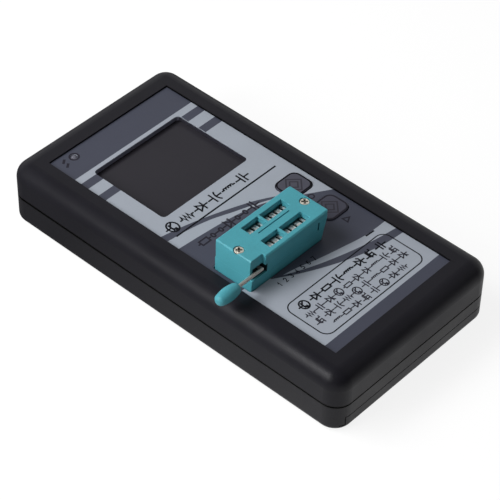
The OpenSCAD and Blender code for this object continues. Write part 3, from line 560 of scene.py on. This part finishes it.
def dark_areas():
    """Two stripes across the label beside the window, a band at each end, and sweeps around the socket."""
    left, right = -LABEL_X - 1, LABEL_X + 1
    bands = [rect(left, low, right, high)
             for low, high in ((48.4, LABEL_Y + 1), (42.4, 45.6), (34.7, 37.9), (-LABEL_Y - 1, -55.2))]
    # first sweep, from the left rim to behind the socket
    first = (curve_through([(left, 11.2), (-18, 9.3), (-8.8, 6.7), (0, 3.6), (6.5, 0.9), (13.5, -3.0)])
             + curve_through([(13.0, -3.4), (6.0, -0.4), (-2.5, 2.6), (-10.2, 5.4), (-18, 7.1),
                              (left, 8.2)]))
    # broad dark area with the socket in it
    broad = (curve_through([(left, 3.5), (-17.3, 2.7), (-6, 1.5), (4.4, -0.6), (12, -4.0), (18.7, -7.9),
                            (right, -13.3)])
             + curve_through([(right, -33.8), (17.9, -33.6), (8.1, -31.8), (-0.5, -29.9), (-6.4, -28.2),
                              (-10, -27.4)])
             + curve_through([(-13, -26.9), (-16.4, -25.2), (-21, -23.4), (left, -22.2)], 5))
    # last sweep, out of the dark area to the right rim
    last = (curve_through([(-16.4, -25.2), (-7.7, -29.3), (0, -32.2), (9.2, -34.9), (18, -36.9),
                           (right, -38.4)])
            + curve_through([(right, -41.1), (18, -40.1), (8.5, -37.6), (0, -34.4), (-8.7, -30.2),
                             (-16.4, -25.6)]))
    return bands + [first, broad, last]


def black_print():
    """Rules, the heading's symbols, the contacts' numbers, and the box at the lower end with its heading."""
    out = stroke([(-22.4, 7.65), (21.9, 7.6)], 0.62)
    out += row("npn zigzag diode polar coil capacitor", -23.0, 13.4, 11.4, 5.3, 6.4, 0.6)
    pitch = 2.54
    for i, digit in enumerate("1234567"):
        out += draw(DIGITS[digit], -16.7 + pitch * i, -29.7, 1.0, 1.7, 0.3)
    out += stroke([(17.6, -33.9), (20.6, -34.1)], 0.6)
    out += stroke(round_rect(-0.25, -44.85, 45.3, 17.1, 3.0), 0.42, closed=True)
    out += row("npn diode resistor polar coil zener mos capacitor", -19.8, 19.3, -39.8, 4.3, 5.0, 0.55)
    return out


def pale_print():
    """Signs on the dark areas, and the small rows in the box."""
    out = row("resistor terminals diode terminals capacitor", -20.6, 6.0, 0.0, 4.8, 7.0, 0.62)
    out += stroke(ring_points(*LAMP, 1.55, 32), 0.6, closed=True)
    for x, y in ((-22.5, 57.1), (-22.9, 54.9)):
        out += stroke([(x - 0.5, y - 0.4), (x + 0.5, y + 0.4)], 0.85)
    out += stroke(ring_points(19.3, -10.0, 0.95, 16), 0.5, closed=True)
    out += stroke([(18.3, -25.8), (20.4, -24.7), (18.3, -23.6)], 0.5, closed=True)
    for names, x0, x1, y, tall in (
            ("zigzag capacitor thyristor npn resistor zener diode coil polar mos", -21.0, 20.4, -43.7, 4.4),
            ("mos zener polar zigzag npn capacitor coil resistor diode thyristor", -21.0, 20.4, -47.3, 4.4),
            ("coil resistor diode mos capacitor npn thyristor zigzag", -17.0, 16.2, -50.8, 4.2)):
        out += row(names, x0, x1, y, 3.7, tall, 0.42)
    return out


def label():
    keys = [round_rect(*middle_of(key)[:2], KEY_W + 2 * KEY_GAP, KEY_L + 2 * KEY_GAP, KEY_R + KEY_GAP)
            for key in ("ok_key", "test_key")]
    obj = film("label_print", rect(-LABEL_X, LABEL_Y0, LABEL_X, LABEL_Y),
               [(1, dark_areas()), (2, black_print()), (3, pale_print())],
               [WINDOW, ring_points(*LAMP, LAMP_HOLE_R, 32), SOCKET_HOLE] + keys,
               LABEL_Z, LABEL_Z - LABEL_BACK, [LABEL, DARK_INK, BLACK_INK, SOFT_INK])
    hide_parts("front_label")
    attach(obj, "case")


label()


def key_print(which, body, fill, outline):
    x, y = middle_of(body)[:2]
    film_z = box_of(body)[1][2] + KEY_FILM
    line = 0.6
    rim = stroke(round_rect(x, y, KEY_W - line, KEY_L - line, KEY_R - line / 2), line, closed=True)
    diamonds = []
    for r in (3.4, 1.8):
        diamonds += stroke([(x + r, y), (x, y + r), (x - r, y), (x, y - r)], 0.5, closed=True)
    obj = film(which + "_key_print", round_rect(x, y, KEY_W, KEY_L, KEY_R), [(1, diamonds), (2, rim)], [],
               film_z, KEY_FILM, [fill, KEY_MARK, outline])
    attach(obj, body)


key_print("ok", "ok_key", KEY_INK, BLACK_INK)
key_print("test", "test_key", KEY_INK_LOW, SOFT_INK)


# ---------------------------------------------------------------- stage and light
def floor():
    """A pale floor that shows white to the camera. Towards the lower end it is a whiter card for the gloss
    of the case's sides, and it gives a part of its light back to the object."""
    half, below, level, diffuse_share = 3.0, 0.00002, 0.85, 0.35
    data = bpy.data.meshes.new("floor")
    data.from_pydata([(-half, -half, 0), (half, -half, 0), (half, half, 0), (-half, half, 0)], [],
                     [(0, 1, 2, 3)])
    obj = bpy.data.objects.new("floor", data)
    obj.location.z = -below
    scene.collection.objects.link(obj)
    m, t = node_material("floor")
    seen = add(t, "ShaderNodeLightPath").outputs
    card = ramp(t, axes(t, add(t, "ShaderNodeTexCoord").outputs["Object"])[1], 0.05, -0.08, 0.0, 1.0)
    bounce = maths(t, "MULTIPLY", seen["Is Diffuse Ray"], diffuse_share)
    shine = maths(t, "MULTIPLY", seen["Is Glossy Ray"], card)
    share = maths(t, "MAXIMUM", maths(t, "MAXIMUM", seen["Is Camera Ray"], bounce), shine)
    paper = add(t, "ShaderNodeBsdfDiffuse", in_Color=(0.22, 0.22, 0.22, 1))
    glow = add(t, "ShaderNodeEmission", in_Color=(1, 1, 1, 1))
    t.links.new(maths(t, "MULTIPLY", share, level), glow.inputs["Strength"])
    both = add(t, "ShaderNodeAddShader")
    t.links.new(paper.outputs["BSDF"], both.inputs[0])
    t.links.new(glow.outputs["Emission"], both.inputs[1])
    out = add(t, "ShaderNodeOutputMaterial")
    t.links.new(both.outputs["Shader"], out.inputs["Surface"])
    data.materials.append(m)


def world():
    """White behind the object and soft grey light on it. In the gloss the studio is darker overhead,
    beyond the object's left side and behind its lower end."""
    w = bpy.data.worlds.new("world")
    scene.world = w
    w.use_nodes = True
    t = w.node_tree
    t.nodes.clear()
    seen = add(t, "ShaderNodeLightPath").outputs
    x, y, z = axes(t, add(t, "ShaderNodeTexCoord").outputs["Generated"])
    side = ramp(t, x, -0.75, 0.1, 0.2, 1.0)
    end = ramp(t, y, -0.68, -0.40, 0.05, 1.0)
    height = ramp(t, z, 0.45, 0.85, 1.0, 0.15)
    gloss = maths(t, "MULTIPLY", maths(t, "MULTIPLY", side, end), height)
    soft = add(t, "ShaderNodeBackground", in_Color=(1, 1, 1, 1), in_Strength=0.19)
    white = add(t, "ShaderNodeBackground", in_Color=(1, 1, 1, 1))
    t.links.new(maths(t, "MAXIMUM", seen["Is Camera Ray"], gloss), white.inputs["Strength"])
    straight = maths(t, "MAXIMUM", seen["Is Camera Ray"], seen["Is Glossy Ray"])
    mix = add(t, "ShaderNodeMixShader")
    t.links.new(maths(t, "MAXIMUM", straight, seen["Is Transmission Ray"]), mix.inputs["Fac"])
    t.links.new(soft.outputs["Background"], mix.inputs[1])
    t.links.new(white.outputs["Background"], mix.inputs[2])
    out = add(t, "ShaderNodeOutputWorld")
    t.links.new(mix.outputs["Shader"], out.inputs["Surface"])


def softbox(name, place, side, power, aim=(0, 0, 0.01), glossy=True, diffuse=True):
    data = bpy.data.lights.new(name, "AREA")
    data.shape = "SQUARE"
    data.size = side
    data.energy = power
    obj = bpy.data.objects.new(name, data)
    obj.location = place
    obj.visible_camera = False
    obj.visible_glossy = glossy
    obj.visible_diffuse = diffuse
    obj.rotation_euler = (Vector(aim) - Vector(place)).to_track_quat("-Z", "Y").to_euler()
    scene.collection.objects.link(obj)


floor()
world()
softbox("key_light", (-0.32, 0.40, 0.615), 0.36, 3.47, glossy=False)
softbox("side_light", (-0.664, 0.20, 0.40), 0.36, 2.66)
# makes the highlight on the case's near corner
softbox("gloss_card", (-0.123, -0.002, 0.114), 0.035, 0.085, aim=(-0.034, -0.062, 0.017), diffuse=False)
scene.view_settings.view_transform = "Standard"
